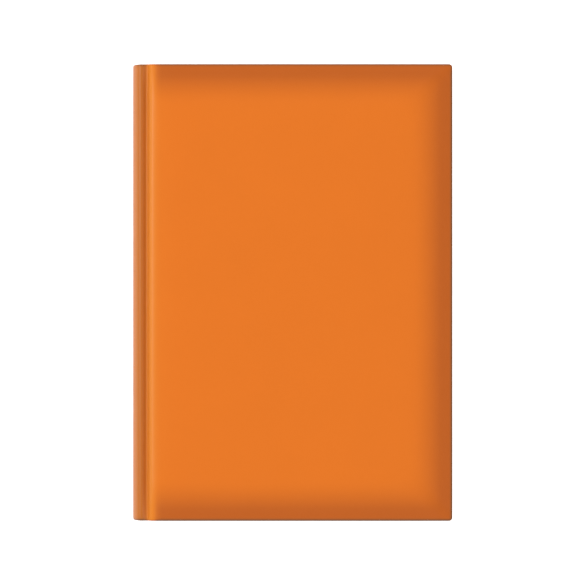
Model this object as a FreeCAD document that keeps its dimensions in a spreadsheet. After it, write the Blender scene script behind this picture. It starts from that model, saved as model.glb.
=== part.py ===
"""Undated planner: a padded hardcover book in leatherette, as a parametric document.

The book lies closed on its back cover. The x axis runs from the spine to the
fore-edge, y from the tail to the head, z from the back cover to the front cover.
The origin is under the middle of the book, at the level it rests on.
"""

import FreeCAD, Part
import math
import os
import re
import Sketcher

# The driving dimensions, in millimetres.
DIMS = (
    ("block_width", 141.6, "leaves, from the shoulder of the round back to the fore-edge"),
    ("block_height", 207.0, "leaves, tail to head"),
    ("block_thickness", 15.0, "150 leaves of 0.1 mm"),
    ("endpaper_thickness", 0.2, "flyleaf and pastedown"),
    ("board_thickness", 2.0, "greyboard"),
    ("board_overhang", 3.1, "how far the boards stand past the leaves"),
    ("wrap_thickness", 0.6, "leatherette"),
    ("card_thickness", 0.8, "card inside the spine of the case"),
    ("lining_thickness", 0.4, "paper and mull on the block's back"),
    ("hollow_gap", 0.8, "between the lining and the card"),
    ("spine_round", 3.2, "how far the spine bulges out"),
    ("spine_rise", 1.0, "the spine's shoulders past two layers of leatherette on the covers"),
    ("groove_reach", 3.1, "block's shoulder to the covers' edge beside the groove"),
    ("groove_depth", 1.1, "groove's floor under the spine's shoulder"),
    ("groove_sag", 0.6, "groove's floor under its own two edges"),
    ("joint_gap", 0.1, "groove strip to the spine and to the cover"),
    ("cover_clearance", 0.3, "flyleaf to pastedown"),
    ("swing_clearance", 0.4, "a cover turned right over to the spine"),
    ("rim_height", 0.4, "foam at its edges"),
    ("pad_rise", 3.4, "foam's crown above its edges"),
    ("pad_slope", 19.0, "width of the foam's slope at head, tail and fore-edge"),
    ("groove_slope", 6.5, "width of the foam's slope beside the groove"),
    ("pad_corner", 9.0, "corner radius of the foam's flat crown"),
    ("cover_corner", 1.6, "corner radius of the covers at the fore-edge"),
    ("groove_corner", 0.7, "corner radius of the covers beside the groove"),
    ("edge_round", 0.8, "rounding of the leatherette over an edge"),
    ("turn_in", 15.0, "width of the leatherette turned in over the boards"),
    ("mitre_gap", 0.3, "slit between two turn-ins at a corner"),
    ("pastedown_margin", 3.5, "turn-in left showing round the pastedown"),
    ("paste_step", 0.9, "width of the step where the pastedown leaves the turn-in"),
    ("band_depth", 8.0, "how far a headband's tape runs down the back"),
    ("bead_radius", 0.95, "bead of a headband"),
)

# What follows from them. Heights here are measured from the middle plane of the book,
# and depths from the crown of the spine.
LAYOUT = (
    ("half_block", "block_thickness / 2"),
    ("inner_face", "half_block + endpaper_thickness + cover_clearance"),
    ("board_level", "endpaper_thickness + wrap_thickness"),
    ("foam_level", "board_level + board_thickness"),
    ("foam_rim", "foam_level + rim_height"),
    ("skin_rim", "foam_rim + wrap_thickness"),
    ("cover_thickness", "skin_rim + pad_rise"),
    ("mid_height", "inner_face + cover_thickness"),
    ("spine_half", "inner_face + 2 * wrap_thickness + spine_rise"),
    ("spine_radius", "(spine_half ^ 2 + spine_round ^ 2) / (2 * spine_round)"),
    ("card_radius", "spine_radius - wrap_thickness"),
    ("case_radius", "card_radius - card_thickness"),
    ("back_radius", "case_radius - hollow_gap - lining_thickness"),
    ("back_reach", "sqrt(back_radius ^ 2 - half_block ^ 2)"),
    ("shoulder_depth", "spine_radius - back_reach"),
    ("cover_depth", "shoulder_depth + groove_reach"),
    ("full_width", "shoulder_depth + block_width + board_overhang + wrap_thickness"),
    ("full_height", "block_height + 2 * (board_overhang + wrap_thickness)"),
    ("cover_width", "full_width - cover_depth"),
    ("board_height", "full_height - 2 * wrap_thickness"),
    ("spine_x", "-full_width / 2"),
    ("arc_x", "spine_x + spine_radius"),
    ("cover_x", "spine_x + cover_depth"),
    ("spine_angle", "asin(spine_half / spine_radius) / 1 deg"),
    ("card_angle", "asin((spine_half - 2 * wrap_thickness) / spine_radius) / 1 deg"),
    ("turn_angle", "card_angle - 1.5"),
    ("back_angle", "asin(0.96 * half_block / back_radius) / 1 deg"),
    ("strip_left", "spine_radius - case_radius * cos(spine_angle) + joint_gap"),
    ("strip_half", "(cover_depth - joint_gap - strip_left) / 2"),
    ("strip_radius", "(strip_half ^ 2 + groove_sag ^ 2) / (2 * groove_sag)"),
    ("strip_x", "spine_x + strip_left + strip_half"),
    ("strip_height", "spine_half - groove_depth + strip_radius"),
)

# The cushion's slope, as shares of its width and of its rise: straight for the outer
# quarter, then flattening evenly to the crown.
CUSHION = (
    (0, 0),
    (0.28, 0.4375),
    (0.46, 0.6836),
    (0.64, 0.8594),
    (0.8, 0.9566),
    (0.92, 0.9931),
    (1, 1),
)

# The rounded rim of the leatherette, as turns from upright in degrees.
RIM_TURNS = (0, 36, 72)

HOLDER = {name: "dims." + name for name, _, _ in DIMS}
HOLDER.update({name: "layout." + name for name, _ in LAYOUT})

doc = FreeCAD.newDocument("undated_planner")


def bound(text):
    """An expression in which each plain name is given with the object that holds it."""
    return re.sub(r"[a-z_]+", lambda word: HOLDER.get(word[0], word[0]), text)


def value(text):
    """What an expression comes to now."""
    return float(doc.getObject("layout").evalExpression(bound(text)))


def make_sheet():
    sheet = doc.addObject("Spreadsheet::Sheet", "dims")
    for row, (name, size, note) in enumerate(DIMS, start=1):
        sheet.set(f"A{row}", str(size))
        sheet.setAlias(f"A{row}", name)
        sheet.set(f"B{row}", note)
    layout = doc.addObject("App::VarSet", "layout")
    doc.recompute()
    for name, text in LAYOUT:
        layout.addProperty("App::PropertyFloat", name, "layout")
        layout.setExpression(name, bound(text))
        doc.recompute()


# Sketches

def sketch_on(body, role, name, height="0"):
    """An empty sketch on one of the body's origin planes, or on a level above it."""
    sketch = body.newObject("Sketcher::SketchObject", f"{body.Label}_{name}")
    plane = next(o for o in body.Origin.OriginFeatures if o.Role == role)
    sketch.AttachmentSupport = [(plane, "")]
    sketch.MapMode = "FlatFace"
    if height != "0":
        sketch.setExpression("AttachmentOffset.Base.z", bound(height))
    return sketch


def hold(sketch, kind, place, text):
    """Adds a sized constraint and binds its size."""
    index = sketch.addConstraint(Sketcher.Constraint(kind, *place, value(text)))
    sketch.setExpression(f"Constraints[{index}]", bound(text))


def arc_between(start, end, radius, hand):
    """The short arc from start to end: hand 1 turns left on the way, hand -1 right."""
    chord = end - start
    away = math.sqrt(max(radius**2 - chord.Length**2 / 4, 0.0))
    left = FreeCAD.Vector(-chord.y, chord.x, 0).normalize()
    centre = (start + end) / 2 + left * away * hand
    first, last = (start, end) if hand > 0 else (end, start)
    turns = [math.atan2(p.y - centre.y, p.x - centre.x) for p in (first, last)]
    circle = Part.Circle(centre, FreeCAD.Vector(0, 0, 1), radius)
    return Part.ArcOfCircle(circle, *turns)


def outline(sketch, corners, arcs=None):
    """Draws a closed outline through corners, each a pair of expressions.

    arcs gives, for the sides that are curved, the radius and the hand.
    """
    arcs = arcs or {}
    points = [FreeCAD.Vector(value(x), value(y), 0) for x, y in corners]
    sides = []
    for i, start in enumerate(points):
        end = points[(i + 1) % len(points)]
        if i in arcs:
            radius, hand = arcs[i]
            index = sketch.addGeometry(arc_between(start, end, value(radius), hand))
            sides.append((index, 1, 2) if hand > 0 else (index, 2, 1))
        else:
            index = sketch.addGeometry(Part.LineSegment(start, end))
            sides.append((index, 1, 2))
    for i, (index, _, end) in enumerate(sides):
        following, start, _ = sides[(i + 1) % len(sides)]
        sketch.addConstraint(Sketcher.Constraint("Coincident", index, end, following, start))
    for (index, start, _), (x, y) in zip(sides, corners):
        hold(sketch, "DistanceX", (-1, 1, index, start), x)
        hold(sketch, "DistanceY", (-1, 1, index, start), y)
    for i, (radius, _) in arcs.items():
        hold(sketch, "Radius", (sides[i][0],), radius)
    return sketch


def rectangle(sketch, x_min, x_max, y_half):
    return outline(
        sketch,
        [
            (x_min, f"-({y_half})"),
            (x_max, f"-({y_half})"),
            (x_max, y_half),
            (x_min, y_half),
        ],
    )


def cover_outline(sketch, x_min, x_max, y_half, r_groove, r_fore):
    """A cover's outline: its own corner radius beside the groove and at the fore-edge."""
    x_min, x_max, y_half = (f"({text})" for text in (x_min, x_max, y_half))
    r_groove, r_fore = (f"({text})" for text in (r_groove, r_fore))
    corners = [
        (f"{x_min} + {r_groove}", f"-{y_half}"),
        (f"{x_max} - {r_fore}", f"-{y_half}"),
        (x_max, f"-{y_half} + {r_fore}"),
        (x_max, f"{y_half} - {r_fore}"),
        (f"{x_max} - {r_fore}", y_half),
        (f"{x_min} + {r_groove}", y_half),
        (x_min, f"{y_half} - {r_groove}"),
        (x_min, f"-{y_half} + {r_groove}"),
    ]
    arcs = {1: (r_fore, 1), 3: (r_fore, 1), 5: (r_groove, 1), 7: (r_groove, 1)}
    return outline(sketch, corners, arcs)


def sector(sketch, inner, outer, angle):
    """A band between two arcs about the origin, the same angle up and down from -x."""
    corners = [
        (f"-({inner}) * cos({angle})", f"-({inner}) * sin({angle})"),
        (f"-({outer}) * cos({angle})", f"-({outer}) * sin({angle})"),
        (f"-({outer}) * cos({angle})", f"({outer}) * sin({angle})"),
        (f"-({inner}) * cos({angle})", f"({inner}) * sin({angle})"),
    ]
    return outline(sketch, corners, {1: (outer, -1), 3: (inner, 1)})


# Features

def new_body(label, x, z, turned=False):
    """A body at depth x and height z; turned ones are upside down, for the back cover."""
    body = doc.addObject("PartDesign::Body", label)
    body.Label = label
    if turned:
        body.Placement.Rotation = FreeCAD.Rotation(FreeCAD.Vector(1, 0, 0), 180)
    body.setExpression("Placement.Base.x", bound(x))
    body.setExpression("Placement.Base.z", bound(z))
    return body


def extrude(body, kind, sketch, length, symmetric=False, reverse=False):
    """A Pad or a Pocket of a sketch."""
    feature = body.newObject(f"PartDesign::{kind}", sketch.Name + "_" + kind.lower())
    feature.Profile = sketch
    feature.setExpression("Length", bound(length))
    feature.SideType = "Symmetric" if symmetric else "One side"
    feature.Reversed = reverse
    return feature


def loft(body, kind, sections):
    """A smooth AdditiveLoft or SubtractiveLoft through sections."""
    feature = body.newObject(f"PartDesign::{kind}", sections[0].Name + "_loft")
    feature.Profile = sections[0]
    feature.Sections = sections[1:]
    return feature


def revolve(body, sketch, angle):
    feature = body.newObject("PartDesign::Revolution", sketch.Name + "_turn")
    feature.Profile = sketch
    feature.ReferenceAxis = (sketch, ["V_Axis"])
    feature.setExpression("Angle", bound(angle))
    feature.Midplane = True
    return feature


def fillet(body, base, radius, wanted):
    """Rounds the edges of base that wanted() picks."""
    doc.recompute()
    names = [
        f"Edge{i}" for i, edge in enumerate(base.Shape.Edges, start=1) if wanted(edge)
    ]
    feature = body.newObject("PartDesign::Fillet", base.Name + "_fillet")
    feature.Base = (base, names)
    feature.setExpression("Radius", bound(radius))
    return feature


def near(a, b):
    return abs(a - b) < 1e-4


# Pieces of the book block and the spine, about the centre of the spine's arcs

def page_block():
    body = new_body("page_block", "arc_x", "mid_height")
    corners = [
        ("-back_reach", "-half_block"),
        ("block_width - back_reach", "-half_block"),
        ("block_width - back_reach", "half_block"),
        ("-back_reach", "half_block"),
    ]
    section = sketch_on(body, "XZ_Plane", "section")
    outline(section, corners, {1: ("back_radius", -1), 3: ("back_radius", 1)})
    extrude(body, "Pad", section, "block_height", symmetric=True)


def flyleaf(side, turned):
    body = new_body(f"{side}_flyleaf", "arc_x", "mid_height", turned)
    sheet = sketch_on(body, "XY_Plane", "sheet", "half_block")
    rectangle(sheet, "-back_reach", "block_width - back_reach", "block_height / 2")
    extrude(body, "Pad", sheet, "endpaper_thickness")


def spine_lining():
    body = new_body("spine_lining", "arc_x", "mid_height")
    section = sketch_on(body, "XZ_Plane", "section")
    sector(section, "back_radius", "back_radius + lining_thickness", "back_angle")
    extrude(body, "Pad", section, "block_height - 2 * band_depth", symmetric=True)


def headband(label, turned):
    """A woven tape glued on the end of the back, with a bead that lies on the leaves."""
    body = new_body(label, "arc_x", "mid_height", turned)
    tape = sketch_on(body, "XY_Plane", "tape")
    outer = "-back_radius - lining_thickness"
    foot = "block_height / 2 - band_depth"
    top = "block_height / 2 + bead_radius"
    outline(
        tape,
        [(outer, foot), ("-back_radius", foot), ("-back_radius", top), (outer, top)],
    )
    revolve(body, tape, "2 * back_angle")
    bead = sketch_on(body, "XY_Plane", "bead")
    centre = "bead_radius / 2 - back_radius"
    middle = FreeCAD.Vector(value(centre), value(top), 0)
    circle = Part.Circle(middle, FreeCAD.Vector(0, 0, 1), value("bead_radius"))
    index = bead.addGeometry(circle)
    hold(bead, "DistanceX", (-1, 1, index, 3), centre)
    hold(bead, "DistanceY", (-1, 1, index, 3), top)
    hold(bead, "Radius", (index,), "bead_radius")
    revolve(body, bead, "2 * back_angle")


def spine_board():
    body = new_body("spine_board", "arc_x", "mid_height")
    section = sketch_on(body, "XZ_Plane", "section")
    sector(section, "case_radius", "card_radius", "card_angle")
    extrude(body, "Pad", section, "board_height", symmetric=True)


def spine_wrap():
    """Leatherette round the card: over both long edges, and turned in at head and tail."""
    body = new_body("spine_wrap", "arc_x", "mid_height")
    skin = sketch_on(body, "XZ_Plane", "skin")
    sector(skin, "case_radius", "spine_radius", "spine_angle")
    extrude(body, "Pad", skin, "full_height", symmetric=True)
    inner = sketch_on(body, "XZ_Plane", "turn_in")
    sector(inner, "case_radius - wrap_thickness", "case_radius", "turn_angle")
    solid = extrude(body, "Pad", inner, "full_height", symmetric=True)

    def long_shoulder(edge):
        ends = [v.Point for v in edge.Vertexes]
        across = math.hypot(ends[0].x, ends[0].z)
        along = edge.Length > value("board_height")
        return along and near(across, value("spine_radius"))

    fillet(body, solid, "edge_round", long_shoulder)
    card = sketch_on(body, "XZ_Plane", "card_room")
    sector(card, "case_radius", "card_radius", "card_angle")
    extrude(body, "Pocket", card, "board_height", symmetric=True)
    window = sketch_on(body, "XZ_Plane", "window")
    sector(window, "case_radius - 2 * wrap_thickness", "case_radius", "card_angle")
    extrude(body, "Pocket", window, "full_height - 2 * turn_in", symmetric=True)


def joint_strip(side, turned):
    """The leatherette of a groove, doubled at head and tail where it is turned in.

    Its section is a shallow valley; its body's origin is the centre of the valley's arc.
    """
    level = "mid_height - strip_height" if turned else "mid_height + strip_height"
    body = new_body(f"{side}_joint", "strip_x", level, turned)

    def band(name, inner, outer):
        def drop(radius):
            return f"-sqrt(({radius}) ^ 2 - strip_half ^ 2)"

        sketch = sketch_on(body, "XZ_Plane", name)
        corners = [
            ("-strip_half", drop(outer)),
            ("strip_half", drop(outer)),
            ("strip_half", drop(inner)),
            ("-strip_half", drop(inner)),
        ]
        return outline(sketch, corners, {0: (outer, 1), 2: (inner, -1)})

    middle = "strip_radius + wrap_thickness"
    under = "strip_radius + 2 * wrap_thickness"
    extrude(body, "Pad", band("skin", "strip_radius", middle), "full_height", symmetric=True)
    extrude(body, "Pad", band("turn_in", middle, under), "full_height", symmetric=True)
    window = band("window", middle, under + " + wrap_thickness")
    extrude(body, "Pocket", window, "full_height - 2 * turn_in", symmetric=True)


# Pieces of a cover, from its edge beside the groove and from its inner face

def cover_body(side, piece, turned):
    level = "mid_height - inner_face" if turned else "mid_height + inner_face"
    return new_body(f"{side}_{piece}", "cover_x", level, turned)


def board(side, turned):
    body = cover_body(side, "board", turned)
    plate = sketch_on(body, "XY_Plane", "plate", "board_level")
    board_outline(plate)
    extrude(body, "Pad", plate, "board_thickness")


def board_outline(sketch):
    cover_outline(
        sketch,
        "wrap_thickness",
        "cover_width - wrap_thickness",
        "board_height / 2",
        "groove_corner",
        "cover_corner - wrap_thickness",
    )


def cushion_sections(body, name, inset, level, rise):
    """Sections of the crowned cushion, from its rim up to the flat crown."""
    sections = []
    for i, (across, up) in enumerate(CUSHION):
        side = f"({inset} + (pad_slope - {inset}) * {across})"
        groove_side = f"({inset} + (groove_slope - {inset}) * {across})"
        height = f"{level} + ({rise}) * {up}"
        sketch = sketch_on(body, "XY_Plane", f"{name}_{i}", height)
        cover_outline(
            sketch,
            groove_side,
            f"cover_width - {side}",
            f"full_height / 2 - {side}",
            f"(groove_corner + (pad_corner - groove_corner) * {across})",
            f"(cover_corner + (pad_corner - cover_corner) * {across} - {inset} * {1 - across})",
        )
        sections.append(sketch)
    return sections


def rim_sections(body):
    """Sections of the rounded rim, from the upright side to the start of the slope."""
    sections = []
    for i, turn in enumerate(RIM_TURNS):
        inset = f"(edge_round * (1 - cos({turn})))"
        height = f"skin_rim - edge_round * (1 - sin({turn}))"
        sketch = sketch_on(body, "XY_Plane", f"rim_{i}", height)
        cover_outline(
            sketch,
            inset,
            f"cover_width - {inset}",
            f"full_height / 2 - {inset}",
            "groove_corner",
            f"(cover_corner - {inset})",
        )
        sections.append(sketch)
    return sections


def padding(side, turned):
    body = cover_body(side, "padding", turned)
    foot = sketch_on(body, "XY_Plane", "foot", "foam_level")
    board_outline(foot)
    extrude(body, "Pad", foot, "rim_height")
    sections = cushion_sections(body, "crown", "wrap_thickness", "foam_rim", "pad_rise")
    loft(body, "AdditiveLoft", sections)


def wrap(side, turned):
    """Leatherette over the cushion, round three edges of the board and in over its inner
    face, with a slit at each corner where two turn-ins meet at a mitre.
    """
    body = cover_body(side, "wrap", turned)
    plate = sketch_on(body, "XY_Plane", "plate", "endpaper_thickness")
    cover_outline(
        plate, "0", "cover_width", "full_height / 2", "groove_corner", "cover_corner"
    )
    solid = extrude(body, "Pad", plate, "skin_rim - edge_round - endpaper_thickness")

    def lower_edge(edge):
        low = value("endpaper_thickness")
        return near(edge.BoundBox.ZMin, low) and near(edge.BoundBox.ZMax, low)

    fillet(body, solid, "edge_round / 2", lower_edge)
    rim = rim_sections(body)
    loft(body, "AdditiveLoft", rim)
    lip = f"(edge_round * (1 - cos({RIM_TURNS[-1]})))"
    sag = f"edge_round * (1 - sin({RIM_TURNS[-1]}))"
    crown = cushion_sections(body, "crown", lip, f"skin_rim - {sag}", f"pad_rise + {sag}")
    loft(body, "AdditiveLoft", crown)
    room = sketch_on(body, "XY_Plane", "board_room", "board_level")
    board_outline(room)
    extrude(body, "Pocket", room, "foam_rim - board_level", reverse=True)
    hollow = cushion_sections(body, "hollow", "wrap_thickness", "foam_rim", "pad_rise")
    loft(body, "SubtractiveLoft", hollow)
    window = sketch_on(body, "XY_Plane", "window", "endpaper_thickness")
    rectangle(window, "wrap_thickness", "cover_width - turn_in", "full_height / 2 - turn_in")
    extrude(body, "Pocket", window, "wrap_thickness", reverse=True)
    slits = sketch_on(body, "XY_Plane", "mitres", "endpaper_thickness")
    for hand in (1, -1):
        mitre(slits, hand)
    extrude(body, "Pocket", slits, "wrap_thickness", reverse=True)


def mitre(sketch, hand):
    """A slit from the turn-ins' inner corner nearly to the cover's outer corner."""
    start, end = "turn_in + mitre_gap", "2 * cover_corner"
    half = "mitre_gap / 2"
    inner = (f"cover_width - {start}", f"{hand} * (full_height / 2 - {start})")
    outer = (f"cover_width - {end}", f"{hand} * (full_height / 2 - {end})")
    outline(
        sketch,
        [
            (inner[0], f"{inner[1]} - {hand} * {half}"),
            (outer[0], f"{outer[1]} - {hand} * {half}"),
            (outer[0], f"{outer[1]} + {hand} * {half}"),
            (inner[0], f"{inner[1]} + {hand} * {half}"),
        ],
    )


def pastedown(side, turned):
    """The pasted sheet: it lies over the turn-ins and steps down onto the board."""
    body = cover_body(side, "pastedown", turned)
    sheet = sketch_on(body, "XY_Plane", "sheet")
    rectangle(
        sheet, "0", "cover_width - pastedown_margin", "full_height / 2 - pastedown_margin"
    )
    extrude(body, "Pad", sheet, "endpaper_thickness")
    panel = sketch_on(body, "XY_Plane", "panel", "endpaper_thickness")
    rectangle(panel, "wrap_thickness", "cover_width - turn_in", "full_height / 2 - turn_in")
    extrude(body, "Pad", panel, "wrap_thickness")
    tray = sketch_on(body, "XY_Plane", "tray")
    rectangle(
        tray,
        "wrap_thickness + paste_step",
        "cover_width - turn_in - paste_step",
        "full_height / 2 - turn_in - paste_step",
    )
    solid = extrude(body, "Pocket", tray, "wrap_thickness", reverse=True)

    def tray_mouth(edge):
        box = edge.BoundBox
        flat = near(box.ZMin, 0) and near(box.ZMax, 0)
        return flat and box.XMin > value("wrap_thickness") and box.XMax < value(
            "cover_width - turn_in"
        )

    fillet(body, solid, "0.9 * wrap_thickness", tray_mouth)


# The document

def build():
    make_sheet()
    page_block()
    spine_lining()
    headband("head_band", False)
    headband("tail_band", True)
    spine_board()
    spine_wrap()
    for side, turned in (("front", False), ("back", True)):
        flyleaf(side, turned)
        joint_strip(side, turned)
        board(side, turned)
        padding(side, turned)
        wrap(side, turned)
        pastedown(side, turned)
    doc.recompute()


def check():
    """Stops if an object failed, a piece isn't sound, or a cut took nothing away."""
    for item in doc.Objects:
        if "Invalid" in item.State or "Error" in item.State:
            raise RuntimeError(f"{item.Label} failed: {item.State}")
        if item.TypeId in ("PartDesign::Pocket", "PartDesign::SubtractiveLoft"):
            if item.Shape.Volume > item.BaseFeature.Shape.Volume - 1e-3:
                raise RuntimeError(f"{item.Label} cuts nothing")
    bodies = [item for item in doc.Objects if item.TypeId == "PartDesign::Body"]
    for body in bodies:
        shape = body.Shape
        if shape.isNull() or not shape.isValid() or len(shape.Solids) != 1:
            raise RuntimeError(f"{body.Label} isn't one sound solid")
    return bodies


def export(bodies):
    os.makedirs("parts", exist_ok=True)
    for body in bodies:
        body.Shape.exportStep(f"parts/{body.Label}.step")


build()
export(check())
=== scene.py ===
"""Looks of the padded planner: leatherette over cushioned covers, endpapers, leaves and headbands.

Lengths are in millimetres inside the functions, as depth from the crown of the spine and height
over the middle plane of the book, and in metres in Blender.
"""

import math

import bpy
from mathutils import Matrix, Vector


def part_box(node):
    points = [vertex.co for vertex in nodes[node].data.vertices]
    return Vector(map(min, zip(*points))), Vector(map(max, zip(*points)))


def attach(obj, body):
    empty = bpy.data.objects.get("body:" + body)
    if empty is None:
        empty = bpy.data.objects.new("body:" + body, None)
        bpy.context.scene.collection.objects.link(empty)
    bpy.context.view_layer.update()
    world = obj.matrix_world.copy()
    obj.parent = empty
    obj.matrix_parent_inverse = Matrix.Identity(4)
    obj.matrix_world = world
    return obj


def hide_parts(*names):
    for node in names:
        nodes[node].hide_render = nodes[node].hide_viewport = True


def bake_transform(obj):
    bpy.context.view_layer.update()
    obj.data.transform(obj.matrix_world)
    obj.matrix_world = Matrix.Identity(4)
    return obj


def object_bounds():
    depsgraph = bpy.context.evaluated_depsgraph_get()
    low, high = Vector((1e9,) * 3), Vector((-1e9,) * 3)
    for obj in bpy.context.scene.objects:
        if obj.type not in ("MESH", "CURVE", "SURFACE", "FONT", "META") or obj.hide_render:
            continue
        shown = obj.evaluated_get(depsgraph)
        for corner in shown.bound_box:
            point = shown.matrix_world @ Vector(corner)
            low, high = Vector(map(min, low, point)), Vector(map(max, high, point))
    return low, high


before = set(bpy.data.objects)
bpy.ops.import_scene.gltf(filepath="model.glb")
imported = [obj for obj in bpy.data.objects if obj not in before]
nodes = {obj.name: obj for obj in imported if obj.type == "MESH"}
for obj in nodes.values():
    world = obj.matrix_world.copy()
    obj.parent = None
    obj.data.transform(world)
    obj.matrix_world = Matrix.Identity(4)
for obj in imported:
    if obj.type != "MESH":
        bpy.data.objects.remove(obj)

MM = 0.001
cad_low, cad_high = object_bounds()
MIDDLE = (cad_low.z + cad_high.z) / 2


def depth_of(x):
    """Millimetres from the crown of the spine."""
    return (x - cad_low.x) / MM


def height_of(z):
    """Millimetres over the middle plane."""
    return (z - MIDDLE) / MM


def place(depth, y, height):
    """The point in metres at a depth, a y and a height in millimetres."""
    return Vector((cad_low.x + depth * MM, y * MM, MIDDLE + height * MM))


# The book's width from the crown of the spine, half its length and the height of its crown, and
# where the covers, their turn-ins, the pasted sheets and the flyleaves lie.
WIDTH = depth_of(cad_high.x)
HALF = cad_high.y / MM
CROWN = height_of(cad_high.z)
COVER_EDGE = depth_of(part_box("front_wrap")[0].x)
TURNED_FACE = height_of(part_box("front_wrap")[0].z)
PASTED_FACE = height_of(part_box("front_pastedown")[0].z)
LEAF_FACE = height_of(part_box("front_flyleaf")[1].z)
LEAF_FOLD = depth_of(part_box("front_flyleaf")[0].x)

# Leatherette: its thickness, and the arcs of its face and its back over the spine.
SKIN = 0.55
SPINE_RADIUS = 16.43
SPINE_CENTRE = 16.08
SPINE_BACK_RADIUS = 14.08

# Seams between the spine's sheet and the covers': how far up the spine they are, how near them a
# column keeps their edges crisp, the heights of a cover's columns from there to the groove line,
# and the parts that each half of the spine's sheet is cut into.
SEAM = 8.0
CRISP = 0.08
SHOULDER = (SEAM, SEAM + CRISP, 8.4, 8.75)
SPINE_STEPS = 8

# Cushion: its rise and the width of its slope, the corner of its flat crown, the share of the slope
# that is straight, and the most that the foam pushes the leatherette out, with the cloth's pressure
# and frames for it.
PAD_RISE = 3.4
PAD_SLOPE = 19.0
CROWN_CORNER = 9.0
STRAIGHT_FOOT = 0.28
PUFF = 0.3
PRESSURE = 4
FRAMES = 20

# Rims: the corner of the cover, the rounding at the face and at the foot with the turns that draw
# it, the insets of the rows on the turned-in leatherette, and the gap at its mitres.
RIM_CORNER = 1.6
RIM_ROUND = 0.8
FOOT_ROUND = 0.7
RIM_TURNS = (90, 60, 30, 0)
FOOT_TURNS = (0, 45, 90)
TURN_IN = (RIM_CORNER, 3.7, 7.5, 15.0)
MITRE_GAP = 0.15

# Rows and columns of a cover's sheet: the insets of those on the slope, and the parts that the flat
# is cut into, from its middle for the rows.
SLOPE_STEPS = (RIM_CORNER, 2.8, 4.3, 6.0, 8.0, 10.2, 12.6, 15.2, 17.6, 20.0)
FLAT_ROWS = 11
FLAT_COLUMNS = 15

# The leatherette's line from the spine's shoulder through the groove to the flat of the cover:
# depth and height of its face, then of the inner side of its turned-in ends.
GROOVE_LINE = (
    (2.68, 9.25, 4.2, 7.82),
    (3.2, 9.66, 4.45, 7.85),
    (3.8, 9.82, 4.75, 7.87),
    (4.4, 9.74, 5.1, 7.89),
    (4.95, 9.51, 5.4, 7.9),
    (5.5, 9.24, 5.7, 7.9),
    (6.05, 9.06, 6.0, 7.91),
    (6.5, 9.15, 6.3, 7.92),
    (6.82, 9.5, 6.6, 7.94),
    (7.06, 10.05, 6.87, 7.97),
    (7.26, 10.75, 7.12, 8.01),
    (7.46, 11.5, 7.38, 8.07),
    (7.68, 12.25, 7.65, 8.13),
    (7.95, 12.95, 8.0, 8.18),
    (8.3, 13.6, 8.35, 8.2),
    (8.75, 14.15, 8.75, 8.2),
    (9.3, 14.57, 9.3, 8.2),
    (10.0, 14.87, 10.0, 8.2),
    (11.0, 15.08, 11.0, 8.2),
    (12.4, 15.18, 12.4, 8.2),
)
# Its lowest point, as depth and height.
GROOVE_FLOOR = (6.05, 9.06)

# The cloth is held from the seam to the roll's top, and this share of the way up the rim.
HELD_DEPTH = 9.3
HELD_SHARE = 0.03


# Handwork

def only(piece):
    """Deselects everything, then takes one piece in hand."""
    bpy.ops.object.select_all(action="DESELECT")
    piece.select_set(True)
    bpy.context.view_layer.objects.active = piece


def edit(piece, *steps):
    """Runs steps in edit mode on the whole of a piece."""
    only(piece)
    bpy.ops.object.mode_set(mode="EDIT")
    bpy.ops.mesh.select_all(action="SELECT")
    for step in steps:
        step()
    bpy.ops.object.mode_set(mode="OBJECT")


def apply(piece, kind, **settings):
    """Adds a modifier, sets it and applies it."""
    only(piece)
    modifier = piece.modifiers.new(kind.lower(), kind)
    for name, setting in settings.items():
        setattr(modifier, name, setting)
    bpy.ops.object.modifier_apply(modifier=modifier.name)


def smooth(piece):
    """Shades a piece smooth, but for its sharp edges."""
    only(piece)
    bpy.ops.object.shade_smooth_by_angle(angle=math.radians(50))


def grid(name, columns, rows, point):
    """A sheet of columns by rows, laid out by a function of column and row."""
    bpy.ops.object.select_all(action="DESELECT")
    bpy.ops.mesh.primitive_grid_add(x_subdivisions=columns - 1, y_subdivisions=rows - 1)
    piece = bpy.context.object
    piece.name = piece.data.name = name
    for vertex in piece.data.vertices:
        row, column = divmod(vertex.index, columns)
        vertex.co = point(column, row)
    return piece


# Leatherette

def swell(share):
    """The cushion's height as a share of its rise: straight at its foot, then flattening."""
    pull = 2 / (1 + STRAIGHT_FOOT)
    if share < STRAIGHT_FOOT:
        return pull * share
    return 1 - pull * (1 - share) ** 2 / (2 * (1 - STRAIGHT_FOOT))


def cushion_share(depth, y):
    """How far a point has come from the cover's outline, 0, to its flat crown, 1. The part of the
    slope that it is in is halved until that is far finer than a micrometre.
    """
    outer, inner = 0.0, 1.0
    for _ in range(22):
        share = (outer + inner) / 2
        corner = RIM_CORNER + (CROWN_CORNER - RIM_CORNER) * share
        across = depth - (WIDTH - PAD_SLOPE * share - corner)
        along = abs(y) - (HALF - PAD_SLOPE * share - corner)
        if math.hypot(max(across, 0), max(along, 0)) <= corner:
            outer = share
        else:
            inner = share
    return outer


def skin_height(depth, y, halfway=CROWN):
    """Height of the skin on the cushion, from the height that it has there halfway along."""
    rise = (PAD_RISE - PUFF) * swell(cushion_share(depth, y))
    floor = GROOVE_FLOOR[1]
    return floor + (halfway - floor) * (CROWN - PAD_RISE + rise - floor) / (CROWN - floor)


def ease(share):
    """A share kept between 0 and 1 and eased at both ends."""
    share = min(1, max(0, share))
    return share * share * (3 - 2 * share)


def between(place, start, end):
    """How far a place has come from start, 0, to end, 1, eased at both."""
    return ease((place - start) / (end - start))


def gloss_and_painted_highlight(depth):
    """How glossy the skin is, and how much a painted highlight lightens its colour: most on the
    crown of the spine, half in the joint, and less and less up the roll beside the groove.
    """
    return 0.55 * (1 - between(depth, 6.5, 13.5)) + 0.45 * (1 - between(depth, 0, 2.6))


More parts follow.
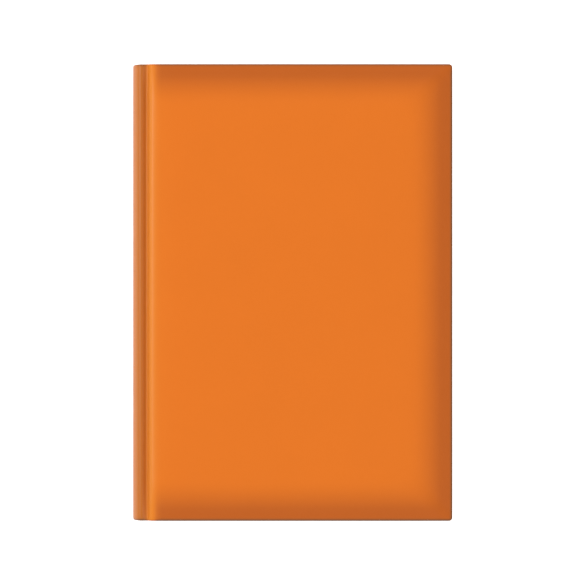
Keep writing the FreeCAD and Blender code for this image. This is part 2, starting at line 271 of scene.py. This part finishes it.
def painted_shade(depth, y, ring):
    """How much painted shade darkens the skin, standing in for the shade of the groove and of the
    cushion's slopes: none on the crown or beside the groove, full in the joint and at the rim, and more
    where it turns over the rim as a dark outline, but less at the head, which faces the light.
    """
    joint = (0.65 + 0.38 * between(depth, 0.8, 3)) * (1 - between(depth, 5.7, 7.9))
    share = (1 - cushion_share(depth, y)) / (1 - STRAIGHT_FOOT)
    rim = min(1, share) * between(depth, COVER_EDGE + 0.9, COVER_EDGE + 4.9)
    turn = between(ring, 0.3, 2) * (1 - between(ring, 3.4, 5.4))
    return max(joint, rim) + (0.7 - 0.3 * between(y, HALF - 5, HALF - 2)) * turn


def round_edge(face, back):
    """A section that leaves the face, rounds the edge and comes in along the back, as pairs of
    the inset from the edge and the point. Neither rounding takes half of a thin edge.
    """
    drop = back - face
    way, thick = drop.normalized(), drop.length
    rim, foot = min(RIM_ROUND, 0.45 * thick), min(FOOT_ROUND, 0.45 * thick)
    section = []
    for turn in map(math.radians, RIM_TURNS):
        section.append((rim * (1 - math.cos(turn)), face + way * rim * (1 - math.sin(turn))))
    for turn in map(math.radians, FOOT_TURNS):
        section.append((foot * (1 - math.cos(turn)), back - way * foot * (1 - math.sin(turn))))
    return section + [(inset, back) for inset in TURN_IN]


# Rows of the turned edge, and how many of them go round the corners; the rest are mitred.
RINGS = len(RIM_TURNS) + len(FOOT_TURNS) + len(TURN_IN)
OPEN_RINGS = RINGS - len(TURN_IN) + 1


def row_stops():
    """Places of the rows between the rims of tail and head."""
    slope = [HALF - step for step in SLOPE_STEPS]
    flat = [slope[-1] * step / FLAT_ROWS for step in range(1 - FLAT_ROWS, FLAT_ROWS)]
    return [-y for y in slope] + flat + slope[::-1]


def leather_sheet(name, lines, side, to_fore_edge):
    """One sheet of leatherette: lines are its columns, each the face and the back of the section
    there and whether it lies on the cushion.
    """
    stops = row_stops()
    last_line, last_stop = len(lines) - 1, len(stops) - 1
    columns = len(lines) + (RINGS if to_fore_edge else 0)
    rows = len(stops) + 2 * RINGS
    corner = Vector((WIDTH - RIM_CORNER, HALF - RIM_CORNER))
    tone, gloss_and_highlight, held = [], [], []

    def corner_section(angle):
        """The turned edge in one direction from the middle of a corner's rounding."""
        reach = RIM_CORNER - RIM_ROUND
        depth, y = corner.x + reach * math.cos(angle), corner.y + reach * math.sin(angle)
        face = Vector((depth, skin_height(depth, y)))
        return round_edge(face, Vector((depth, TURNED_FACE)))

    def spot(column, row):
        """Depth, y and height of a point of the sheet. Beyond and ring count the rows past the
        head or tail and the columns past the fore-edge; both pass it at a corner.
        """
        beyond = max(RINGS - row, row - RINGS - last_stop, 0)
        end = -1 if row < RINGS + last_stop / 2 else 1
        y = stops[min(max(row - RINGS, 0), last_stop)]
        ring = column - last_line
        if ring <= 0:
            (face_depth, face_height), back, cushioned = lines[column]
            if not beyond:
                if cushioned:
                    face_height = skin_height(face_depth, y, face_height)
                return face_depth, y, face_height
            if cushioned:
                face_height = skin_height(face_depth, HALF - RIM_ROUND, face_height)
            inset, point = round_edge(Vector((face_depth, face_height)), Vector(back))[beyond - 1]
            depth = point.x
            if to_fore_edge and inset > RIM_CORNER:
                depth = min(depth, WIDTH - inset - MITRE_GAP)
            return depth, end * (HALF - inset), point.y
        if not beyond:
            depth = WIDTH - RIM_ROUND
            face = Vector((depth, skin_height(depth, y)))
            inset, point = round_edge(face, Vector((depth, TURNED_FACE)))[ring - 1]
            if inset > RIM_CORNER:
                y = math.copysign(min(abs(y), HALF - inset - MITRE_GAP), y)
            return WIDTH - inset, y, point.y
        turn = max(ring, beyond)
        angle = math.pi / 4 * (beyond / turn if ring == turn else 2 - ring / turn)
        inset, point = corner_section(angle)[turn - 1]
        reach = RIM_CORNER - inset
        if reach < 0:
            return corner.x + reach, end * (corner.y + reach), point.y
        y = end * (corner.y + reach * math.sin(angle))
        return corner.x + reach * math.cos(angle), y, point.y

    def lay(column, row):
        """Places a point, and notes its painted shade, its gloss and painted highlight, and whether the
        cloth is held there.
        """
        depth, y, height = spot(column, row)
        ring = max(column - last_line, RINGS - row, row - RINGS - last_stop)
        tone.append(painted_shade(depth, y, ring))
        gloss_and_highlight.append(gloss_and_painted_highlight(depth))
        if ring >= 0 or depth < HELD_DEPTH or cushion_share(depth, y) < HELD_SHARE:
            held.append(row * columns + column)
        return place(depth, y, side * height)

    piece = grid(name, columns, rows, lay)
    # Painted shade and gloss with painted highlight, kept on the points for the leatherette's material.
    for label, shares in (("painted_shade", tone), ("gloss_and_painted_highlight", gloss_and_highlight)):
        layer = piece.data.attributes.new(label, "FLOAT", "POINT")
        layer.data.foreach_set("value", shares)
    if to_fore_edge:
        piece.vertex_groups.new(name="held").add(held, 1, "REPLACE")
        cut_mitres(piece, columns, rows, last_line)
    steps = [lambda: bpy.ops.mesh.remove_doubles(threshold=0.000001)]
    if side < 0:
        steps.append(bpy.ops.mesh.flip_normals)
    edit(piece, *steps)
    if to_fore_edge:
        puff_up(piece)
    apply(piece, "SUBSURF", levels=1, render_levels=1)
    apply(piece, "SOLIDIFY", thickness=SKIN * MM, offset=-1)
    smooth(piece)
    return piece


def puff_up(piece):
    """Lets the foam push the leatherette out as cloth held at its rims and in its groove, by PUFF
    at most.
    """
    start = [vertex.co.copy() for vertex in piece.data.vertices]
    only(piece)
    cloth = piece.modifiers.new("cloth", "CLOTH")
    cloth.settings.vertex_group_mass = "held"
    cloth.settings.use_pressure = True
    cloth.settings.uniform_pressure_force = PRESSURE
    cloth.settings.effector_weights.gravity = 0
    cloth.point_cache.frame_start, cloth.point_cache.frame_end = 1, FRAMES
    for step in range(1, FRAMES + 1):
        bpy.context.scene.frame_set(step)
    bpy.ops.object.modifier_apply(modifier=cloth.name)
    bpy.context.scene.frame_set(1)
    for vertex, before in zip(piece.data.vertices, start):
        move = vertex.co - before
        reach = move.length / (PUFF * MM)
        vertex.co = before + move.normalized() * PUFF * MM * (1 - math.exp(-reach))


def cut_mitres(piece, columns, rows, last_line):
    """Takes out the corners of the sheet between the turn-ins."""
    only(piece)
    bpy.ops.object.mode_set(mode="EDIT")
    bpy.ops.mesh.select_mode(type="FACE")
    bpy.ops.mesh.select_all(action="DESELECT")
    bpy.ops.object.mode_set(mode="OBJECT")
    for face in piece.data.polygons:
        row, column = divmod(face.index, columns - 1)
        ring = column - last_line + 1
        beyond = max(RINGS - row, row - (rows - 2 - RINGS))
        face.select = ring > 0 and beyond > 0 and max(ring, beyond) > OPEN_RINGS
    bpy.ops.object.mode_set(mode="EDIT")
    bpy.ops.mesh.delete(type="FACE")
    bpy.ops.mesh.select_mode(type="VERT")
    bpy.ops.object.mode_set(mode="OBJECT")


def spine_line(height):
    """Face and back of the leatherette over the round of the spine."""
    angle = math.asin(height / SPINE_RADIUS)
    way = Vector((-math.cos(angle), math.sin(angle)))
    centre = Vector((SPINE_CENTRE, 0))
    return centre + SPINE_RADIUS * way, centre + SPINE_BACK_RADIUS * way, False


def shoulder_lines():
    """The columns from the seam on the spine to the groove line."""
    end = Vector(GROOVE_LINE[0])
    seam_back = spine_line(SEAM)[1]
    for height in SHOULDER:
        share = (height - SEAM) / (end.y - SEAM)
        yield spine_line(height)[0], seam_back.lerp(end.zw, share), False


def cover_leather(name, side, body):
    """The leatherette of a cover with its foam, from the spine's seam to the fore-edge."""
    lines = list(shoulder_lines())
    for depth, height, back_depth, back_height in GROOVE_LINE:
        lines.append(((depth, height), (back_depth, back_height), depth > GROOVE_FLOOR[0]))
    fore = [WIDTH - step for step in SLOPE_STEPS[::-1]]
    start = GROOVE_LINE[-1][0]
    flat = [start + (fore[0] - start) * step / FLAT_COLUMNS for step in range(1, FLAT_COLUMNS)]
    for depth in flat + fore:
        lines.append(((depth, CROWN), (depth, TURNED_FACE), True))
    piece = leather_sheet(name, lines, side, True)
    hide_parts(*(f"{body.split('_')[0]}_{part}" for part in ("wrap", "joint", "padding")))
    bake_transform(piece)
    return piece


def spine_leather():
    """The leatherette over the spine, from seam to seam."""
    heights = [SEAM * step / SPINE_STEPS for step in range(-SPINE_STEPS, SPINE_STEPS + 1)]
    heights[1:1], heights[-1:-1] = [CRISP - SEAM], [SEAM - CRISP]
    piece = leather_sheet("spine_leather", [spine_line(height) for height in heights], 1, False)
    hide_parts("spine_wrap")
    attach(piece, "block")
    return piece


front_leather = cover_leather("front_leather", 1, "front_cover")
back_leather = cover_leather("back_leather", -1, "back_cover")
spine = spine_leather()


# Endpapers and headbands

# Endpaper: its thickness, how far its edge and its next row lie from the cover's, and its step down
# from the turn-ins to the board.
PAPER = 0.15
PASTE_MARGIN = 3.5
MARGIN_ROW = 9.0
STEP_DOWN = 0.6
STEP_WIDTH = 0.9
STEP_ROWS = (1, 0.7, 0.35, 0)
BOARD_EDGE = depth_of(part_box("front_board")[0].x)

# The parts that its middle is cut into, from its own middle for the rows.
MIDDLE_COLUMNS = 12
MIDDLE_ROWS = 9

# Its hinge, in millimetres from the fold: the columns, and where it leaves the flyleaf and where it
# has risen to the cover. It clears the flyleaf by CLEAR.
HINGE_COLUMNS = (0, 0.6, 1.2, 1.7, 2.1, 2.4, 2.7, 3.0, 3.3, 3.6, 3.9, 4.15, 4.4, 4.65)
HINGE_RISE = (2.1, 3.3)
CLEAR = 0.01


def endpaper(name, side):
    """A pasted sheet and the hinge that joins it to the block: it lies over the turn-ins, steps
    down onto the board and runs out under the groove to the fold.
    """
    turned = TURN_IN[-1]
    insets = (*(turned + part * STEP_WIDTH for part in STEP_ROWS), MARGIN_ROW, PASTE_MARGIN)
    hinge = [LEAF_FOLD + column for column in HINGE_COLUMNS]
    reach = WIDTH - insets[0] - hinge[-1]
    middle = [hinge[-1] + reach * step / MIDDLE_COLUMNS for step in range(1, MIDDLE_COLUMNS)]
    across = [*hinge, *middle, *(WIDTH - inset for inset in insets)]
    stops = [HALF - inset for inset in insets]
    flat = [stops[0] * step / MIDDLE_ROWS for step in range(1 - MIDDLE_ROWS, MIDDLE_ROWS)]
    along = [-y for y in stops[::-1]] + flat + stops

    def lay(column, row):
        depth, y = across[column], along[row]
        rise = between(depth - LEAF_FOLD, *HINGE_RISE)
        height = LEAF_FACE + CLEAR + (PASTED_FACE - LEAF_FACE - CLEAR) * rise
        within = min(depth - BOARD_EDGE, WIDTH - turned - depth, HALF - turned - abs(y))
        height += STEP_DOWN * ease(within / STEP_WIDTH)
        return place(depth, y, side * height)

    piece = grid(name, len(across), len(along), lay)
    if side < 0:
        edit(piece, bpy.ops.mesh.flip_normals)
    apply(piece, "SUBSURF", levels=1, render_levels=1)
    apply(piece, "SOLIDIFY", thickness=PAPER * MM, offset=1)
    smooth(piece)
    hand = name.split("_")[0]
    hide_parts(hand + "_pastedown")
    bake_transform(piece)
    return piece


# Headband: the arc of the leaves' back, the glue and the tape on it, the tape's columns and rows,
# how far it goes round each way in degrees, the bead along the top, and the loops of thread that
# wind the bead.
BACK_CENTRE = 17.86
BACK_RADIUS = 15.26
GLUE = 0.02
TAPE = 0.3
TAPE_COLUMNS = 17
TAPE_ROWS = 7
BAND_REACH = 27.6
BEAD = 0.95
BEAD_RADIUS = BACK_RADIUS - BEAD / 2
THREADS = 27
LOOP_RADIUS = 0.68
THREAD_RADIUS = 0.27
SLANT = math.radians(9)


def headband(name, end):
    """A strip of tape on the back of the leaves, with a bead wound with thread along its top."""
    low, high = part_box(name)
    inner, outer = sorted((abs(low.y / MM), abs(high.y / MM)))
    bead_y = outer - BEAD

    def lay(column, row):
        angle = math.radians(BAND_REACH * (2 * column / (TAPE_COLUMNS - 1) - 1))
        y = inner + (bead_y - inner) * row / (TAPE_ROWS - 1)
        depth = BACK_CENTRE - (BACK_RADIUS + GLUE) * math.cos(angle)
        return place(depth, end * y, BACK_RADIUS * math.sin(angle))

    piece = grid(name + "_sewn", TAPE_COLUMNS, TAPE_ROWS, lay)
    if end > 0:
        edit(piece, bpy.ops.mesh.flip_normals)
    apply(piece, "SOLIDIFY", thickness=TAPE * MM, offset=1)
    bpy.ops.object.select_all(action="DESELECT")
    bpy.ops.mesh.primitive_torus_add(
        major_radius=LOOP_RADIUS * MM,
        minor_radius=THREAD_RADIUS * MM,
        major_segments=16,
        minor_segments=8,
        rotation=(0, SLANT, 0),
    )
    thread = bpy.context.object
    bpy.ops.object.transform_apply(rotation=True)
    wound = []
    for turn in range(THREADS):
        angle = math.radians(BAND_REACH * (2 * turn / (THREADS - 1) - 1))
        depth = BACK_CENTRE - BEAD_RADIUS * math.cos(angle)
        spot = place(depth, end * bead_y, BEAD_RADIUS * math.sin(angle))
        loop = thread.copy()
        loop.data = thread.data.copy()
        loop.data.transform(Matrix.Translation(spot) @ Matrix.Rotation(angle, 4, "Y"))
        bpy.context.collection.objects.link(loop)
        wound.append(loop)
    bpy.data.objects.remove(thread)
    only(piece)
    for loop in wound:
        loop.select_set(True)
    bpy.ops.object.join()
    smooth(piece)
    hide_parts(name)
    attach(piece, "block")
    return piece


front_endpaper = endpaper("front_endpaper", 1)
back_endpaper = endpaper("back_endpaper", -1)
head_band = headband("head_band", 1)
tail_band = headband("tail_band", -1)


# Materials

def group(name, inputs, outputs):
    """A node group with named sockets, and the nodes for what goes in and what comes out."""
    made = bpy.data.node_groups.new(name, "ShaderNodeTree")
    for label, kind, setting in inputs:
        socket = made.interface.new_socket(label, in_out="INPUT", socket_type=kind)
        socket.default_value = setting
    for label, kind in outputs:
        made.interface.new_socket(label, in_out="OUTPUT", socket_type=kind)
    return made, made.nodes.new("NodeGroupInput"), made.nodes.new("NodeGroupOutput")


def add(tree, kind, settings, *sources, **named):
    """A node with its settings. Sources fill its sockets in their order, and named ones those of
    that name, with an underscore for a space. A source is a value, or an output to link.
    """
    made = tree.nodes.new("ShaderNode" + kind)
    for name, setting in settings.items():
        setattr(made, name, setting)
    filled = dict(enumerate(sources))
    filled.update((label.replace("_", " "), source) for label, source in named.items())
    for key, source in filled.items():
        if isinstance(source, bpy.types.NodeSocket):
            tree.links.new(source, made.inputs[key])
        else:
            made.inputs[key].default_value = source
    return made


def count(tree, operation, *sources):
    """What a Math node makes of its sources."""
    return add(tree, "Math", {"operation": operation}, *sources).outputs[0]


def vector(tree, operation, *sources, **named):
    """What a Vector Math node makes of its sources."""
    return add(tree, "VectorMath", {"operation": operation}, *sources, **named).outputs[0]


def object_place(tree):
    """Where the point is on its piece, in metres."""
    return add(tree, "TexCoord", {}).outputs["Object"]


def mix(tree, share, first, second):
    """A colour that goes from the first to the second with the share."""
    made = add(tree, "Mix", {"data_type": "RGBA"}, Factor=share, A=first, B=second)
    return made.outputs["Result"]


def remap(tree, value, start, end, low, high):
    """A value taken from start and end to low and high, and no further."""
    made = add(tree, "MapRange", {}, Value=value, From_Min=start, From_Max=end, To_Min=low, To_Max=high)
    return made.outputs[0]


def pebble_grain():
    """Embossed grain of coated leather: low pebbles parted by fine creases."""
    made, given, result = group(
        "pebble_grain",
        [("Pebble", "NodeSocketFloat", 0.0006), ("Crease", "NodeSocketFloat", 0.2)],
        [("Height", "NodeSocketFloat")],
    )
    to_metre = count(made, "DIVIDE", 1.0, given.outputs["Pebble"])
    pebbled = vector(made, "SCALE", object_place(made), Scale=to_metre)
    wander = add(made, "TexNoise", {}, Vector=pebbled, Scale=0.35, Detail=2.0)
    shifted = vector(made, "MULTIPLY_ADD", wander.outputs["Color"], (0.9, 0.9, 0.9), pebbled)
    cells = add(
        made, "TexVoronoi", {"feature": "DISTANCE_TO_EDGE"}, Vector=shifted, Scale=1.0, Randomness=0.9
    )
    pebbles = add(
        made,
        "MapRange",
        {"interpolation_type": "SMOOTHSTEP"},
        Value=cells.outputs["Distance"],
        From_Max=given.outputs["Crease"],
    )
    fine = add(made, "TexNoise", {}, Vector=pebbled, Scale=4.0, Detail=3.0)
    height = count(made, "MULTIPLY_ADD", fine.outputs["Fac"], 0.25, pebbles.outputs[0])
    made.links.new(height, result.inputs["Height"])
    return made


def mottle():
    """Slight cloudiness of a colour, as dye and pulp take unevenly."""
    made, given, result = group(
        "mottle",
        [
            ("Color", "NodeSocketColor", (0.8, 0.8, 0.8, 1)),
            ("Patch", "NodeSocketFloat", 0.02),
            ("Amount", "NodeSocketFloat", 0.05),
        ],
        [("Color", "NodeSocketColor")],
    )
    to_metre = count(made, "DIVIDE", 1.0, given.outputs["Patch"])
    cloud = add(
        made, "TexNoise", {}, Vector=object_place(made), Scale=to_metre, Detail=4.0, Roughness=0.6
    )
    least = count(made, "SUBTRACT", 1.0, given.outputs["Amount"])
    most = count(made, "ADD", 1.0, given.outputs["Amount"])
    gain = remap(made, cloud.outputs["Fac"], 0.25, 0.75, least, most)
    toned = vector(made, "SCALE", given.outputs["Color"], Scale=gain)
    made.links.new(toned, result.inputs["Color"])
    return made


def fibres():
    """Short fibres of paper and board, lying two ways in the sheet."""
    made, given, result = group(
        "fibres",
        [("Length", "NodeSocketFloat", 0.002), ("Slenderness", "NodeSocketFloat", 8.0)],
        [("Height", "NodeSocketFloat")],
    )
    where = object_place(made)
    to_metre = count(made, "DIVIDE", 1.0, given.outputs["Length"])
    slimness = add(made, "CombineXYZ", {}, X=1.0, Y=given.outputs["Slenderness"], Z=1.0).outputs[0]
    layers = []
    for turn in (0.4, 2.3):
        turned = add(made, "VectorRotate", {}, Vector=where, Angle=turn).outputs[0]
        slim = vector(made, "MULTIPLY", vector(made, "SCALE", turned, Scale=to_metre), slimness)
        strands = add(made, "TexNoise", {}, Vector=slim, Scale=1.0, Detail=3.0, Distortion=0.6)
        layers.append(strands.outputs["Fac"])
    made.links.new(count(made, "MAXIMUM", *layers), result.inputs["Height"])
    return made


PEBBLES, CLOUDS, FIBRES = pebble_grain(), mottle(), fibres()


def material(name, roughness, **constants):
    """A plain Principled material, its tree and its shader."""
    made = bpy.data.materials.new(name)
    made.use_nodes = True
    shader = made.node_tree.nodes["Principled BSDF"]
    shader.inputs["Roughness"].default_value = roughness
    for label, setting in constants.items():
        shader.inputs[label.replace("_", " ")].default_value = setting
    return made, made.node_tree, shader


def effect(tree, shared, output, **named):
    """One output of a shared group, placed in a tree."""
    return add(tree, "Group", {"node_tree": shared}, **named).outputs[output]


def bump(tree, shader, height, distance, strength=1.0):
    """Lets a height stand out of the surface by a distance in metres."""
    made = add(tree, "Bump", {}, Height=height, Distance=distance, Strength=strength)
    tree.links.new(made.outputs[0], shader.inputs["Normal"])


# Colours of the leatherette: as dyed, lightened by a painted highlight, what painted shade leaves of
# each, none and full, and the painted shade where it turns over the rim.
DYED = (0.77, 0.176, 0.0115, 1)
PAINTED_HIGHLIGHT = (0.77, 0.275, 0.016, 1)
NO_PAINTED_SHADE = (1, 1, 1, 1)
FULL_PAINTED_SHADE = (0.69, 0.635, 0.66, 1)
PAINTED_RIM_SHADE = (0.22, 0.08, 0.023, 1)


def leatherette():
    """Coated leatherette: pebbled and dull, glossier at the spine and lightened there by a painted
    highlight, darkened by painted shade in the groove and on the slopes, and dark brown with painted
    shade where it turns over the rim.
    """
    made, tree, shader = material(
        "leatherette",
        0.48,
        Specular_IOR_Level=0.18,
        Sheen_Weight=0.06,
        Sheen_Roughness=0.35,
        Coat_Roughness=0.35,
    )
    painted_shade_share = add(tree, "Attribute", {"attribute_name": "painted_shade"}).outputs["Fac"]
    gloss_and_highlight_share = add(tree, "Attribute", {"attribute_name": "gloss_and_painted_highlight"}).outputs["Fac"]
    dyed = effect(tree, CLOUDS, "Color", Color=DYED, Patch=0.03, Amount=0.012)
    # Painted highlight: a lighter, yellower tone on the spine and up the roll beside the groove.
    highlighted = mix(tree, remap(tree, gloss_and_highlight_share, 0.0, 0.5, 0.0, 0.5), dyed, PAINTED_HIGHLIGHT)
    # Painted shade: darker in the groove and on the cushion's slopes, and dark brown where the skin
    # turns over the rim.
    painted_shade_gain = mix(tree, count(tree, "POWER", painted_shade_share, 1.5), NO_PAINTED_SHADE, FULL_PAINTED_SHADE)
    darkened = vector(tree, "MULTIPLY", highlighted, painted_shade_gain)
    color = mix(tree, remap(tree, painted_shade_share, 1.0, 1.6, 0.0, 1.0), darkened, PAINTED_RIM_SHADE)
    tree.links.new(color, shader.inputs["Base Color"])
    gloss = remap(tree, gloss_and_highlight_share, 0.0, 1.0, 0.0, 0.54)
    tree.links.new(gloss, shader.inputs["Coat Weight"])
    grain = effect(tree, PEBBLES, "Height", Pebble=0.0006, Crease=0.25)
    bump(tree, shader, grain, 0.00003, 0.5)
    return made


def paper(name, color, roughness, cloud, fibre, depth):
    """Paper or board: cloud is the width of its clouds and how much they change the colour, fibre
    the length and slenderness of its fibres, and depth how far they stand out.
    """
    made, tree, shader = material(name, roughness, Specular_IOR_Level=0.25)
    tinted = effect(tree, CLOUDS, "Color", Color=color, Patch=cloud[0], Amount=cloud[1])
    tree.links.new(tinted, shader.inputs["Base Color"])
    pulp = effect(tree, FIBRES, "Height", Length=fibre[0], Slenderness=fibre[1])
    bump(tree, shader, pulp, depth)
    return made


def leaf_edges():
    """Cut edges of a stack of leaves: fine lines that run round the block, some leaves darker."""
    made, tree, shader = material("leaves", 0.75, Specular_IOR_Level=0.2)
    where = object_place(tree)
    layers = add(tree, "Mapping", {}, Vector=where, Scale=(12, 12, 9000))
    leaf = add(tree, "TexNoise", {}, Vector=layers.outputs[0], Scale=1.0, Detail=2.0)
    gather = add(tree, "Mapping", {}, Vector=where, Scale=(5, 5, 2200))
    signature = add(tree, "TexNoise", {}, Vector=gather.outputs[0], Scale=1.0, Detail=1.0)
    both = count(tree, "MULTIPLY", leaf.outputs["Fac"], signature.outputs["Fac"])
    tone = remap(tree, both, 0.12, 0.4, 0.74, 1.0)
    tinted = effect(tree, CLOUDS, "Color", Color=(0.87, 0.83, 0.74, 1), Patch=0.04, Amount=0.02)
    tree.links.new(vector(tree, "SCALE", tinted, Scale=tone), shader.inputs["Base Color"])
    bump(tree, shader, both, 0.0001, 0.6)
    return made


SKIN_FINISH = leatherette()
LEAVES = leaf_edges()
ENDPAPER = paper("endpaper", (0.86, 0.84, 0.78, 1), 0.7, (0.03, 0.015), (0.0015, 9.0), 0.00001)
GREYBOARD = paper("greyboard", (0.36, 0.33, 0.29, 1), 0.85, (0.006, 0.12), (0.002, 7.0), 0.00006)
CARD = paper("card", (0.62, 0.55, 0.44, 1), 0.8, (0.01, 0.06), (0.0015, 8.0), 0.00003)
LINING = paper("lining", (0.74, 0.7, 0.6, 1), 0.85, (0.008, 0.06), (0.001, 5.0), 0.00005)
THREAD = paper("headband", (0.8, 0.76, 0.68, 1), 0.7, (0.004, 0.05), (0.0008, 5.0), 0.00004)


def finish_with(made, *pieces):
    """Gives pieces one material in place of any that they have."""
    for piece in pieces:
        piece.data.materials.clear()
        piece.data.materials.append(made)


finish_with(SKIN_FINISH, front_leather, back_leather, spine)
finish_with(LEAVES, nodes["page_block"])
finish_with(LINING, nodes["spine_lining"])
finish_with(CARD, nodes["spine_board"])
finish_with(ENDPAPER, front_endpaper, back_endpaper, nodes["front_flyleaf"], nodes["back_flyleaf"])
finish_with(GREYBOARD, nodes["front_board"], nodes["back_board"])
finish_with(THREAD, head_band, tail_band)


# Floor, light and camera

bpy.ops.object.select_all(action="DESELECT")
bpy.ops.mesh.primitive_plane_add(size=6, location=(0, 0, -0.0001))
floor = bpy.context.object
floor.name = "floor"
floor_finish, floor_tree, floor_shader = material("floor", 0.9, Specular_IOR_Level=0.1)
floor_shader.inputs["Base Color"].default_value = (0.9, 0.9, 0.9, 1)
floor_shader.inputs["Emission Color"].default_value = (1, 1, 1, 1)
seen = add(floor_tree, "LightPath", {}).outputs["Is Camera Ray"]
glow = count(floor_tree, "MULTIPLY", seen, 0.8)
floor_tree.links.new(glow, floor_shader.inputs["Emission Strength"])
finish_with(floor_finish, floor)

world = bpy.data.worlds.new("studio")
bpy.context.scene.world = world
world.use_nodes = True
backdrop = world.node_tree.nodes["Background"]
backdrop.inputs["Color"].default_value = (1, 1, 1, 1)
seen = add(world.node_tree, "LightPath", {}).outputs["Is Camera Ray"]
glow = remap(world.node_tree, seen, 0.0, 1.0, 0.425, 1.0)
world.node_tree.links.new(glow, backdrop.inputs["Strength"])


def softbox(name, spot, width, power):
    """A square studio light turned towards the book."""
    lamp = bpy.data.lights.new(name, "AREA")
    lamp.size, lamp.energy = width, power
    holder = bpy.data.objects.new(name, lamp)
    bpy.context.collection.objects.link(holder)
    holder.location = spot
    holder.rotation_euler = (-Vector(spot)).to_track_quat("-Z", "Y").to_euler()


softbox("left_light", (-1.2, 0.2, 0.95), 0.6, 10.6)
softbox("right_light", (1.0, -0.1, 1.15), 0.7, 3.8)
softbox("head_light", (0.1, 1.15, 1.1), 0.7, 4.9)
softbox("tail_light", (0.0, -1.1, 1.05), 0.7, 4.3)

camera = bpy.data.objects.new("camera", bpy.data.cameras.new("camera"))
bpy.context.collection.objects.link(camera)
camera.location = (-0.0001, 0, 2.2)
camera.data.lens = 285.1
camera.data.sensor_width = 36
camera.data.clip_start, camera.data.clip_end = 0.1, 10
bpy.context.scene.camera = camera
bpy.context.scene.view_settings.view_transform = "Standard"
